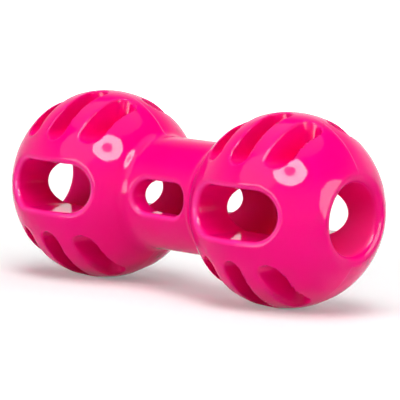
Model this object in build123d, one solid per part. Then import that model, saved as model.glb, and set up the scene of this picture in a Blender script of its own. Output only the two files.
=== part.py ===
from build123d import *
from math import radians, sqrt, tan
import os

# Rubber chew toy: a dumbbell moulded in one piece, two balls on a thick neck.
# A round bore runs from end to end. Three slots run through from front to back, one in each ball and one
# in the neck, and cross the bore. Each ball has rows of blind tooth grooves, open to the front or the back
# and to the top or the bottom, with a web left standing between the front and the back rows.
# Frame: millimetres, origin at the middle of the toy, +X along the bore, +Y to the back, +Z up.
# The moulding is divided where it flexes: the two balls stay round, and the neck between them bends.

# Balls
ball_diameter = 64.0

# Bore from end to end, with rounded rims at its two mouths
bore_diameter = 23.5
bore_rim_radius = 2.6

# Neck, a tube about the bore, with the concave blend that joins it to the balls
neck_length = 29.5
neck_wall = 7.25
neck_blend_radius = 4.0

# Slots through from front to back, with half-round ends and rounded rims. Their sizes are those in the plane
# that touches the front of the ball or of the neck. They narrow towards the bore, like the cores drawn from them.
ball_slot_length = 35.0
ball_slot_height = 16.5
neck_slot_end_wall = 3.5
neck_slot_height = 11.0
slot_end_draft_degrees = 7.5
slot_side_draft_degrees = 2.0
slot_rim_radius = 1.6

# Tooth grooves, as a ball-ended cutter leaves them
groove_width = 7.0
groove_pitch = 12.8
groove_floor_wall = 3.75
grooves_per_row = 3
web_thickness = 6.6

# How far a cutter reaches past the surface that it cuts
cut_overrun = 5.0

# Radii and places that follow from these
ball_radius = ball_diameter / 2
bore_radius = bore_diameter / 2
neck_radius = bore_radius + neck_wall
neck_end_x = neck_length / 2
ball_x = neck_end_x + sqrt(ball_radius**2 - neck_radius**2)
neck_slot_length = neck_length - 2 * neck_slot_end_wall
groove_radius = groove_width / 2
groove_floor_height = bore_radius + groove_floor_wall
cut_reach = ball_radius + cut_overrun


def tangent_arc(center, radius, start_way, end_way):
    """Arc about a centre, from the point that lies one way from it to the point that lies the other way."""
    middle_way = (start_way.normalized() + end_way.normalized()).normalized()
    ways = (start_way.normalized(), middle_way, end_way.normalized())
    return ThreePointArc(*(center + way * radius for way in ways))


def end_outline(side):
    """Outline of one end, right for side 1 and left for side -1: bore rim, ball, and blend into the neck."""
    rim_height = bore_radius + bore_rim_radius
    rim_offset = sqrt((ball_radius - bore_rim_radius)**2 - rim_height**2)
    blend_height = neck_radius + neck_blend_radius
    blend_offset = sqrt((ball_radius + neck_blend_radius)**2 - blend_height**2)
    ball_center = Vector(side * ball_x, 0, 0)
    rim_center = ball_center + Vector(side * rim_offset, 0, rim_height)
    blend_center = ball_center + Vector(-side * blend_offset, 0, blend_height)
    to_axis = Vector(0, 0, -1)
    rim = tangent_arc(rim_center, bore_rim_radius, to_axis, rim_center - ball_center)
    blend = tangent_arc(blend_center, neck_blend_radius, ball_center - blend_center, to_axis)
    ball = ThreePointArc(rim @ 1, ball_center + Vector(0, 0, ball_radius), blend @ 0)
    return rim, ball, blend


def bored_dumbbell():
    """The turned form: two balls and the neck, with the bore through them."""
    right = end_outline(1)
    left = end_outline(-1)
    neck_line = Line(right[-1] @ 1, left[-1] @ 1)
    bore_line = Line(left[0] @ 0, right[0] @ 0)
    outline = make_face([*right, neck_line, *left, bore_line])
    return revolve(outline, Axis.X)


def through_slot(length, height, front_reach):
    """Cutter of a slot from front to back at the origin, as long and as high as given at the front."""
    sections = []
    for reach in (0, cut_reach):
        behind = front_reach - reach
        shorter = 2 * behind * tan(radians(slot_end_draft_degrees))
        lower = 2 * behind * tan(radians(slot_side_draft_degrees))
        sections.append(Plane.XZ.offset(reach) * SlotOverall(length - shorter, height - lower))
    front_half = loft(sections, ruled=True)
    return front_half + Rot(Z=180) * front_half


def tooth_groove():
    """Cutter of one groove, open to the front and the top, for a ball at the origin."""
    back_y = -web_thickness / 2 - groove_radius
    floor_z = groove_floor_height + groove_radius
    run = cut_reach + back_y
    rise = cut_reach - floor_z
    corner = Pos(0, back_y, floor_z)
    slab = Box(groove_width, run, rise, align=(Align.CENTER, Align.MAX, Align.MIN))
    back = Cylinder(groove_radius, rise, align=(Align.CENTER, Align.CENTER, Align.MIN))
    floor = Rot(X=90) * Cylinder(groove_radius, run, align=(Align.CENTER, Align.CENTER, Align.MIN))
    return corner * (slab + back + floor + Sphere(groove_radius))


def groove_cutters():
    """Cutters of one ball at the origin, a row of grooves in each of its four quarters."""
    groove = tooth_groove()
    quarter_turns = (Rot(), Rot(Z=180), Rot(Y=180), Rot(X=180))
    row = GridLocations(groove_pitch, 0, grooves_per_row, 1).locations
    return [place * turn * groove for turn in quarter_turns for place in row]


def slot_rims(toy):
    """Edges where the slots open in the skin, front and back."""
    curves = toy.edges().filter_by(GeomType.LINE, reverse=True)
    return curves.filter_by(lambda edge: abs(edge.center().Y) > bore_radius)


def moulding():
    """The whole toy as it leaves the mould."""
    ball_places = [Pos(side * ball_x, 0, 0) for side in (-1, 1)]
    ball_slot = through_slot(ball_slot_length, ball_slot_height, ball_radius)
    neck_slot = through_slot(neck_slot_length, neck_slot_height, neck_radius)
    slotted = bored_dumbbell() - [neck_slot, *(place * ball_slot for place in ball_places)]
    rounded = fillet(slot_rims(slotted), slot_rim_radius)
    return rounded - [place * groove for place in ball_places for groove in groove_cutters()]


def divided(toy):
    """The toy's three regions, divided square to the bore where the neck meets the balls."""
    right_plane = Plane.YZ.offset(neck_end_x)
    left_plane = Plane.YZ.offset(-neck_end_x)
    left_and_neck = split(toy, bisect_by=right_plane, keep=Keep.BOTTOM)
    return {
        "left_ball": split(left_and_neck, bisect_by=left_plane, keep=Keep.BOTTOM),
        "neck": split(left_and_neck, bisect_by=left_plane, keep=Keep.TOP),
        "right_ball": split(toy, bisect_by=right_plane, keep=Keep.TOP),
    }


os.makedirs("parts", exist_ok=True)
for name, region in divided(moulding()).items():
    export_step(region.solid(), f"parts/{name}.step")
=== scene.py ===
import math

import bpy
import numpy as np
from mathutils import Matrix, Vector


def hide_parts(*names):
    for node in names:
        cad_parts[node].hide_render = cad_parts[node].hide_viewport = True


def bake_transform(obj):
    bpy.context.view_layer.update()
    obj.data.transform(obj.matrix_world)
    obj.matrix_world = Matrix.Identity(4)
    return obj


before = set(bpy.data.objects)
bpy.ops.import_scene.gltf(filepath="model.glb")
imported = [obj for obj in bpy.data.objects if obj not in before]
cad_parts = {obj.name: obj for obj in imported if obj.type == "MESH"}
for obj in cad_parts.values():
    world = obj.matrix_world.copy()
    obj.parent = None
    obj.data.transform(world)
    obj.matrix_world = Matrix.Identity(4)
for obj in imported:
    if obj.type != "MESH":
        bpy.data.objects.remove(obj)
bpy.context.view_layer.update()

MM = 0.001

# The toy, as the frame has it
BALL_RADIUS = 32 * MM
BORE_RADIUS = 11.75 * MM
NECK_RADIUS = 19 * MM
NECK_LENGTH = 29.5 * MM

# Slots: length and height at the front, and the drafts with which they narrow behind it
BALL_SLOT = (35 * MM, 16.5 * MM)
NECK_SLOT = (22.5 * MM, 11 * MM)
SLOT_END_DRAFT = math.radians(7.5)
SLOT_SIDE_DRAFT = math.radians(2)

# Tooth grooves, with their floors at a height above the middle of the bore
GROOVE_RADIUS = 3.5 * MM
GROOVE_PITCH = 12.8 * MM
GROOVE_FLOOR = 15.5 * MM
WEB_THICKNESS = 6.6 * MM

# Rounding of the rims, which the mould leaves soft
BORE_RIM = 2.6 * MM
SLOT_RIM = 1.6 * MM
NECK_BLEND = 5.5 * MM
GROOVE_RIM = 0.5 * MM

# Limit on the cosine between the normals of two faces whose edge is rounded
COSINE_LIMIT = 0.9

# Mesh
GRID_STEP = 0.8 * MM
GRID_MARGIN = 2 * MM
CELL_CORNERS = 8
CELL_MIDDLE = 0.5
PROJECTION_STEPS = 4
RELAX_STEPS = 3
GRADIENT_STEP = 0.02 * MM
LEAST_STEEPNESS = 0.1
TINY = 1e-9

# Where the neck meets the balls, and the middle of a ball
NECK_END_X = NECK_LENGTH / 2
BALL_X = NECK_END_X + math.sqrt(BALL_RADIUS**2 - NECK_RADIUS**2)

# Centres of the rounds, from the middle of a ball and from the axis
BLEND_HEIGHT = NECK_RADIUS + NECK_BLEND
BLEND_OFFSET = math.sqrt((BALL_RADIUS + NECK_BLEND)**2 - BLEND_HEIGHT**2)
RIM_HEIGHT = BORE_RADIUS + BORE_RIM
RIM_OFFSET = math.sqrt((BALL_RADIUS - BORE_RIM)**2 - RIM_HEIGHT**2)

# The photograph's camera, and how far right of the picture's middle and below it the frame's origin lies
FRAME_PIXELS = 400
FOCAL_PIXELS = 3116.4
SENSOR_WIDTH = 36.0
CAMERA_AZIMUTH = math.radians(40.99)
CAMERA_ELEVATION = math.radians(5.49)
CAMERA_ROLL = math.radians(3.62)
CAMERA_DISTANCE = 1.038
ORIGIN_PIXELS = (-5.7, -3.5)

# Colours
DEEP_PINK = (0.9, 0.0, 0.185, 1)
PALE_PINK = (0.97, 0.001, 0.23, 1)
# Painted sheen: a paler pink on rounded rims and on the parting line, standing in for the light they catch
PAINTED_SHEEN_PINK = (1, 0.03, 0.33, 1)
WHITE = (1, 1, 1, 1)

# Rubber: its gloss, the depth at which the painted sheen on a rounded rim is palest, and the clouds, waves
# and grain of its skin
SHEEN_LEVEL = 0.1
POLISHED = 0.02
DULLED = 0.08
BORE_SATIN = 0.8
SATIN_EDGE = 0.5 * MM
PAINTED_SHEEN_DEPTH = 0.6 * MM
CLOUD_SIZE = 14 * MM
CLOUD_DETAIL = 4
WAVE_SIZE = 5 * MM
WAVE_DEPTH = 0.055 * MM
WAVE_DETAIL = 1
GRAIN_SIZE = 0.7 * MM
GRAIN_DEPTH = 0.003 * MM
GRAIN_DETAIL = 2

# The mould's parting line, where its front and back halves meet
SEAM_WIDTH = 0.5 * MM
SEAM_HEIGHT = 0.12 * MM

# Sockets of a Mix node that hold its colours
MIX_FIRST = 6
MIX_SECOND = 7
MIX_RESULT = 2

# Round lamps: way along the camera's right, up and back, distance, size, radiance
# The gloss mirrors the cards, and the lamps light the colour
CARDS = {
    "key_card": ((0.04, 0.70, 0.71), 1.5, 0.94, 45),
    "right_card": ((0.84, 0.12, 0.53), 0.87, 0.7, 16.5),
    "left_card": ((-0.69, 0.02, 0.72), 0.6, 0.38, 21),
    "wall_card": ((-0.48, 0.67, 0.57), 1.5, 1.27, 3.3),
    "ceiling_card": ((0, 1, 0), 1.5, 1.75, 1.2),
}
LAMPS = {
    "key_lamp": ((0.04, 0.70, 0.71), 1.5, 0.94, 5.2),
    "right_lamp": ((0.82, 0.20, 0.53), 1.5, 0.94, 3.1),
    "left_lamp": ((-0.82, 0.25, 0.52), 1.5, 0.94, 3.3),
    "top_lamp": ((0, 0.97, 0.25), 1.5, 0.94, 4.6),
    "back_lamp": ((0.25, 0.78, -0.58), 1.5, 0.94, 2.4),
}

# The key card's dim middle, with its edge as shares of the card's size
CARD_CENTER = (0.5, 0.5, 0)
CORE_EDGE_SHARES = (0.16, 0.2)
CORE_LEVEL = 0.13

# The room: its light, and the heights up a unit sphere between which its white walls turn dim
ROOM_LIGHT = 0.02
WHITE_BELOW = 0.35
DIM_ABOVE = 0.7

# The floor, and its glow near the toy and far from it, each as a distance and a strength
FLOOR_HALF = 8.0
FLOOR_WHITE = 0.75
NEAR_GLOW = (0.15, 0.25)
FAR_GLOW = (1.0, 1.0)


def arc(along, out, radius):
    """Signed distance of a round, with its slopes along and out."""
    reach = np.hypot(along, out) + TINY
    return np.stack((reach - radius, along / reach, out / reach))


def turned_form(x, from_axis):
    """Signed distance of the dumbbell with its bore, and its slopes along the bore and away from it."""
    level = np.zeros_like(x)
    neck = np.stack((from_axis - NECK_RADIUS, level, level + 1))
    bore = np.stack((BORE_RADIUS - from_axis, level, level - 1))
    ball = arc(x - BALL_X, from_axis, BALL_RADIUS)
    blend_along, blend_out = x - BALL_X + BLEND_OFFSET, from_axis - BLEND_HEIGHT
    blend = -arc(blend_along, blend_out, NECK_BLEND)
    rim_along, rim_out = x - BALL_X - RIM_OFFSET, from_axis - RIM_HEIGHT
    rim = arc(rim_along, rim_out, BORE_RIM)
    on_blend = BLEND_OFFSET * blend_out < -BLEND_HEIGHT * blend_along
    on_rim = (rim_along > 0) & (RIM_OFFSET * rim_out < RIM_HEIGHT * rim_along)
    skin = np.where(blend_along < 0, neck, np.where(on_blend, blend, ball))
    return np.where(on_rim, rim, np.where(bore[0] > skin[0], bore, skin))


def slot_form(along, high, behind, size):
    """Signed distance of a slot that narrows behind its front, and its slopes along and up."""
    length, height = size
    half_length = length / 2 - behind * math.tan(SLOT_END_DRAFT)
    radius = height / 2 - behind * math.tan(SLOT_SIDE_DRAFT)
    past_straight = np.maximum(np.abs(along) - half_length + radius, 0)
    return arc(past_straight * np.sign(along), high, radius)


def round_cut(body, cutter, cosine, radius):
    """Signed distance of a body less a cutter, with a rounded edge where normals meet at that cosine."""
    past_body = body + radius
    past_cutter = radius - cutter
    past_edge = (past_body > cosine * past_cutter) & (past_cutter > cosine * past_body)
    square = past_body**2 + past_cutter**2 - 2 * cosine * past_body * past_cutter
    to_edge = np.sqrt(square / (1 - cosine**2))
    return np.where(past_edge, to_edge, np.maximum(past_body, past_cutter)) - radius


def toy_distance(points, rounding=1):
    """Signed distance of the toy, which is its own mirror image in the three planes of the frame."""
    x, y, z = np.abs(points).T
    along = x - BALL_X
    from_axis = np.hypot(y, z) + TINY
    toy, slope_along, slope_out = turned_form(x, from_axis)
    ball_slot = slot_form(along, z, BALL_RADIUS - y, BALL_SLOT)
    neck_slot = slot_form(x, z, NECK_RADIUS - y, NECK_SLOT)
    for slot, wall_along, wall_up in (ball_slot, neck_slot):
        cosine = -(slope_along * wall_along + slope_out * z / from_axis * wall_up)
        toy = round_cut(toy, slot, np.clip(cosine, -COSINE_LIMIT, COSINE_LIMIT), rounding * SLOT_RIM)
    past_web = np.maximum(WEB_THICKNESS / 2 + GROOVE_RADIUS - y, 0)
    below_floor = np.maximum(GROOVE_FLOOR + GROOVE_RADIUS - z, 0)
    for place in (-GROOVE_PITCH, 0, GROOVE_PITCH):
        across = along - place
        groove = np.sqrt(across**2 + past_web**2 + below_floor**2) - GROOVE_RADIUS
        toy = round_cut(toy, groove, 0, rounding * GROOVE_RIM)
    return toy


def gradient(distance, points):
    """Slope of a signed distance, which points straight out of the surface."""
    slope = np.empty_like(points)
    for axis in range(3):
        step = np.zeros(3)
        step[axis] = GRADIENT_STEP
        slope[:, axis] = (distance(points + step) - distance(points - step)) / (2 * GRADIENT_STEP)
    return slope


def onto_surface(distance, points):
    """Points moved to where the signed distance is zero."""
    for _ in range(PROJECTION_STEPS):
        slope = gradient(distance, points)
        steepness = np.maximum((slope**2).sum(1), LEAST_STEEPNESS)
        points = points - slope * (distance(points) / steepness)[:, None]
    return points


def relaxed(distance, points, quads):
    """Points evened out along the surface."""
    starts = quads.ravel()
    ends = np.roll(quads, -1, axis=1).ravel()
    for _ in range(RELAX_STEPS):
        total = np.zeros_like(points)
        np.add.at(total, starts, points[ends])
        np.add.at(total, ends, points[starts])
        count = np.bincount(starts, minlength=len(points)) + np.bincount(ends, minlength=len(points))
        points = onto_surface(distance, total / count[:, None])
    return points


def crossed_cells(inside):
    """Truth for each grid cell that has corners both inside and outside."""
    cells = np.array(inside.shape) - 1
    corners = np.zeros(cells, int)
    for i, j, k in np.ndindex(2, 2, 2):
        corners += inside[i:i + cells[0], j:j + cells[1], k:k + cells[2]]
    return (corners > 0) & (corners < CELL_CORNERS)


def quads_across(inside, index, axis):
    """Quads that cross the grid's lines along one axis, each through the points of four cells."""
    others = [other for other in range(3) if other != axis]
    ahead = np.diff(inside.astype(np.int8), axis=axis)
    lines = np.argwhere(ahead)
    last = np.array(inside.shape)[others] - 1
    within = (lines[:, others] > 0) & (lines[:, others] < last)
    lines = lines[within.all(1)]
    # A ring through X and then Z turns the other way about Y
    turn = ahead[tuple(lines.T)] * (-1 if axis == 1 else 1)
    ring = []
    for steps in ((0, 0), (1, 0), (1, 1), (0, 1)):
        cell = lines.copy()
        cell[:, others] -= steps
        ring.append(index[tuple(cell.T)])
    ring = np.stack(ring, axis=1)
    ring[turn > 0] = ring[turn > 0][:, ::-1]
    return ring


def surface_mesh(distance, low, high):
    """Points and quads where a signed distance is zero, with one point in each grid cell it crosses."""
    counts = np.ceil((high - low) / GRID_STEP).astype(int) + 1
    grid = np.stack(np.meshgrid(*(np.arange(count) for count in counts), indexing="ij"), axis=-1)
    inside = distance((low + grid * GRID_STEP).reshape(-1, 3)).reshape(counts) < 0
    crossed = crossed_cells(inside)
    index = np.full(crossed.shape, -1)
    index[crossed] = np.arange(crossed.sum())
    points = low + (np.argwhere(crossed) + CELL_MIDDLE) * GRID_STEP
    quads = [quads_across(inside, index, axis) for axis in range(3)]
    return points, np.concatenate(quads)


def keep_on_points(mesh, name, values):
    """Number at each point of a mesh, which its material reads by name."""
    mesh.attributes.new(name, "FLOAT", "POINT").data.foreach_set("value", values.astype(np.float32))


def toy_mesh():
    """The whole moulding as one closed mesh of quads."""
    high = np.array((BALL_X + BALL_RADIUS, BALL_RADIUS, BALL_RADIUS)) + GRID_MARGIN
    points, quads = surface_mesh(toy_distance, -high, high)
    points = relaxed(toy_distance, onto_surface(toy_distance, points), quads)
    mesh = bpy.data.meshes.new("chew_toy")
    mesh.from_pydata(points, [], quads)
    mesh.validate()
    mesh.shade_smooth()
    normals = gradient(toy_distance, points)
    mesh.normals_split_custom_set_from_vertices(normals / np.linalg.norm(normals, axis=1)[:, None])
    keep_on_points(mesh, "rounded_off", -toy_distance(points, rounding=0))
    keep_on_points(mesh, "above_bore", np.hypot(points[:, 1], points[:, 2]) - BORE_RADIUS)
    keep_on_points(mesh, "behind_seam", points[:, 1])
    return mesh


def add_node(tree, kind, **values):
    """Node whose sockets, given by name, hold a value or are linked to an output of another node."""
    node = tree.nodes.new(kind)
    for name, value in values.items():
        socket = node.inputs[name.replace("_", " ")]
        if isinstance(value, bpy.types.NodeSocket):
            tree.links.new(value, socket)
        else:
            socket.default_value = value
    return node


def ranged(tree, value, **limits):
    """Output of a number moved from one range to another, with limits named as in the Map Range node."""
    return add_node(tree, "ShaderNodeMapRange", Value=value, **limits).outputs["Result"]


def worked_out(tree, operation, first, second):
    """Output of an operation on two outputs of other nodes."""
    node = tree.nodes.new("ShaderNodeMath")
    node.operation = operation
    tree.links.new(first, node.inputs[0])
    tree.links.new(second, node.inputs[1])
    return node.outputs[0]


def number_at(tree, name):
    """Output of a number that the mesh keeps on its points."""
    node = tree.nodes.new("ShaderNodeAttribute")
    node.attribute_name = name
    return node.outputs["Fac"]


def noise(tree, size, detail):
    """Output of a noise that stays with the toy, in patches of about a size."""
    place = tree.nodes.new("ShaderNodeTexCoord")
    vector = place.outputs["Object"]
    return add_node(tree, "ShaderNodeTexNoise", Vector=vector, Scale=1 / size, Detail=detail).outputs["Fac"]


def mixed(tree, factor, second):
    """Node that mixes a first colour, set or linked later, with a second one."""
    mix = tree.nodes.new("ShaderNodeMix")
    mix.data_type = "RGBA"
    mix.inputs[MIX_SECOND].default_value = second
    tree.links.new(factor, mix.inputs["Factor"])
    return mix


def seam_ridge(tree):
    """Output that rises from 0 to 1 at the parting line on the toy's skin, and is 0 in the bore."""
    away = add_node(tree, "ShaderNodeMath", Value=number_at(tree, "behind_seam"))
    away.operation = "ABSOLUTE"
    on_skin = ranged(tree, number_at(tree, "above_bore"), From_Min=BORE_RIM, From_Max=2 * BORE_RIM)
    return ranged(tree, away.outputs[0], From_Max=SEAM_WIDTH / 2, To_Min=on_skin, To_Max=0)


def rubber_pink(tree, clouds, seam):
    """Output of a cloudy pink, with a painted sheen that makes rounded rims and the parting line paler,
    where they would catch the light.
    """
    tint = mixed(tree, clouds, PALE_PINK)
    tint.inputs[MIX_FIRST].default_value = DEEP_PINK
    # Painted sheen: pale pink painted on rounded rims and on the parting line, where they would catch the
    # light
    painted_sheen = ranged(tree, number_at(tree, "rounded_off"), From_Max=PAINTED_SHEEN_DEPTH)
    sheen_mix = mixed(tree, worked_out(tree, "MAXIMUM", painted_sheen, seam), PAINTED_SHEEN_PINK)
    tree.links.new(tint.outputs[MIX_RESULT], sheen_mix.inputs[MIX_FIRST])
    return sheen_mix.outputs[MIX_RESULT]


def rubber_polish(tree, clouds):
    """Output of the roughness of an unevenly polished skin and a satin bore."""
    polish = ranged(tree, clouds, To_Min=POLISHED, To_Max=DULLED)
    above_bore = number_at(tree, "above_bore")
    return ranged(tree, above_bore, From_Max=SATIN_EDGE, To_Min=BORE_SATIN, To_Max=polish)


def rubber_relief(tree, seam):
    """Output of the normals of a wavy and finely grained skin with its parting line."""
    waves = noise(tree, WAVE_SIZE, WAVE_DETAIL)
    grain = noise(tree, GRAIN_SIZE, GRAIN_DETAIL)
    wavy = add_node(tree, "ShaderNodeBump", Height=waves, Distance=WAVE_DEPTH)
    grainy = add_node(tree, "ShaderNodeBump", Height=grain, Distance=GRAIN_DEPTH, Normal=wavy.outputs[0])
    seamed = add_node(tree, "ShaderNodeBump", Height=seam, Distance=SEAM_HEIGHT, Normal=grainy.outputs[0])
    return seamed.outputs[0]


def rubber():
    """Glossy pink rubber, its skin a little wavy and unevenly polished as it leaves the mould."""
    material = bpy.data.materials.new("pink_rubber")
    material.use_nodes = True
    tree = material.node_tree
    shader = tree.nodes["Principled BSDF"]
    shader.inputs["Specular IOR Level"].default_value = SHEEN_LEVEL
    clouds = noise(tree, CLOUD_SIZE, CLOUD_DETAIL)
    seam = seam_ridge(tree)
    tree.links.new(rubber_pink(tree, clouds, seam), shader.inputs["Base Color"])
    tree.links.new(rubber_polish(tree, clouds), shader.inputs["Roughness"])
    tree.links.new(rubber_relief(tree, seam), shader.inputs["Normal"])
    return material


def camera_axes():
    """Camera's right, up and back in the frame."""
    side, front = math.sin(CAMERA_AZIMUTH), math.cos(CAMERA_AZIMUTH)
    level = math.cos(CAMERA_ELEVATION)
    back = Vector((side * level, -front * level, math.sin(CAMERA_ELEVATION)))
    right = Vector((front, side, 0))
    up = back.cross(right)
    cosine, sine = math.cos(CAMERA_ROLL), math.sin(CAMERA_ROLL)
    return cosine * right + sine * up, cosine * up - sine * right, back


def add_camera():
    """The photograph's camera."""
    right, up, back = camera_axes()
    data = bpy.data.cameras.new("camera")
    data.sensor_width = SENSOR_WIDTH
    data.lens = FOCAL_PIXELS / FRAME_PIXELS * SENSOR_WIDTH
    camera = bpy.data.objects.new("camera", data)
    per_pixel = CAMERA_DISTANCE / FOCAL_PIXELS
    right_pixels, down_pixels = ORIGIN_PIXELS
    place = back * CAMERA_DISTANCE - right * right_pixels * per_pixel + up * down_pixels * per_pixel
    facing = Matrix((right, up, back)).transposed().to_4x4()
    camera.matrix_world = Matrix.Translation(place) @ facing
    bpy.context.scene.collection.objects.link(camera)
    bpy.context.scene.camera = camera


def add_lamp(name, use, way, distance, size, radiance):
    """Round lamp that faces the toy, and either shows in the gloss or lights the colour."""
    right, up, back = camera_axes()
    toward = (right * way[0] + up * way[1] + back * way[2]).normalized()
    facing = toward.to_track_quat("Z", "Y").to_matrix().to_4x4()
    area = math.pi * (size / 2)**2
    data = bpy.data.lights.new(name, "AREA")
    data.shape = "DISK"
    data.size = size
    data.energy = radiance * math.pi * area
    data.cycles.use_multiple_importance_sampling = use == "gloss"
    lamp = bpy.data.objects.new(name, data)
    lamp.visible_camera = False
    lamp.visible_glossy = use == "gloss"
    lamp.visible_diffuse = use == "colour"
    lamp.matrix_world = Matrix.Translation(toward * distance) @ facing
    bpy.context.scene.collection.objects.link(lamp)


def dim_core(data):
    """Shade a softbox in its middle, where the lamp stands in front of it."""
    data.use_nodes = True
    tree = data.node_tree
    spot = tree.nodes.new("ShaderNodeNewGeometry")
    off_center = tree.nodes.new("ShaderNodeVectorMath")
    off_center.operation = "DISTANCE"
    off_center.inputs[1].default_value = CARD_CENTER
    tree.links.new(spot.outputs["Parametric"], off_center.inputs[0])
    core_end, ring_start = CORE_EDGE_SHARES
    ring = ranged(tree, off_center.outputs["Value"], From_Min=core_end, From_Max=ring_start,
                  To_Min=CORE_LEVEL)
    tree.links.new(ring, tree.nodes["Emission"].inputs["Strength"])


def seen_ray(tree):
    """Output that is 1 for rays that show a surface, straight on or mirrored, and 0 for others."""
    path = tree.nodes.new("ShaderNodeLightPath")
    seen = path.outputs["Is Camera Ray"]
    for name in ("Is Glossy Ray", "Is Transmission Ray"):
        seen = worked_out(tree, "MAXIMUM", seen, path.outputs[name])
    return seen


def add_world():
    """Dim room around the lights, whose walls look white along the horizon."""
    world = bpy.data.worlds.new("studio")
    world.use_nodes = True
    tree = world.node_tree
    background = tree.nodes["Background"]
    background.inputs["Color"].default_value = WHITE
    direction = tree.nodes.new("ShaderNodeTexCoord")
    parts = add_node(tree, "ShaderNodeSeparateXYZ", Vector=direction.outputs["Generated"])
    height = parts.outputs["Z"]
    wall = ranged(tree, height, From_Min=WHITE_BELOW, From_Max=DIM_ABOVE, To_Min=1, To_Max=ROOM_LIGHT)
    level = ranged(tree, seen_ray(tree), To_Min=ROOM_LIGHT, To_Max=wall)
    tree.links.new(level, background.inputs["Strength"])
    bpy.context.scene.world = world


def floor_white():
    """Matt white that looks white to the camera and in reflections, and keeps the toy's shadow."""
    material = bpy.data.materials.new("floor")
    material.use_nodes = True
    tree = material.node_tree
    shader = tree.nodes["Principled BSDF"]
    shader.inputs["Base Color"].default_value = (FLOOR_WHITE, FLOOR_WHITE, FLOOR_WHITE, 1)
    shader.inputs["Roughness"].default_value = 1
    shader.inputs["Specular IOR Level"].default_value = 0
    shader.inputs["Emission Color"].default_value = WHITE
    place = tree.nodes.new("ShaderNodeTexCoord")
    distance = tree.nodes.new("ShaderNodeVectorMath")
    distance.operation = "LENGTH"
    tree.links.new(place.outputs["Object"], distance.inputs[0])
    level = ranged(tree, distance.outputs["Value"], From_Min=NEAR_GLOW[0], To_Min=NEAR_GLOW[1],
                   From_Max=FAR_GLOW[0], To_Max=FAR_GLOW[1])
    tree.links.new(worked_out(tree, "MULTIPLY", seen_ray(tree), level), shader.inputs["Emission Strength"])
    return material


def add_floor():
    """Table that the toy lies on."""
    mesh = bpy.data.meshes.new("floor")
    quarters = ((-1, -1), (1, -1), (1, 1), (-1, 1))
    corners = [(x * FLOOR_HALF, y * FLOOR_HALF, -BALL_RADIUS) for x, y in quarters]
    mesh.from_pydata(corners, [], [(0, 1, 2, 3)])
    mesh.materials.append(floor_white())
    floor = bpy.data.objects.new("floor", mesh)
    bpy.context.scene.collection.objects.link(floor)


toy = bpy.data.objects.new("chew_toy", toy_mesh())
bpy.context.scene.collection.objects.link(toy)
toy.data.materials.append(rubber())
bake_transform(toy)
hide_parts("left_ball", "neck", "right_ball")

add_camera()
add_world()
add_floor()
for name, setting in CARDS.items():
    add_lamp(name, "gloss", *setting)
for name, setting in LAMPS.items():
    add_lamp(name, "colour", *setting)
dim_core(bpy.data.lights["key_card"])

bpy.context.scene.view_settings.view_transform = "Standard"
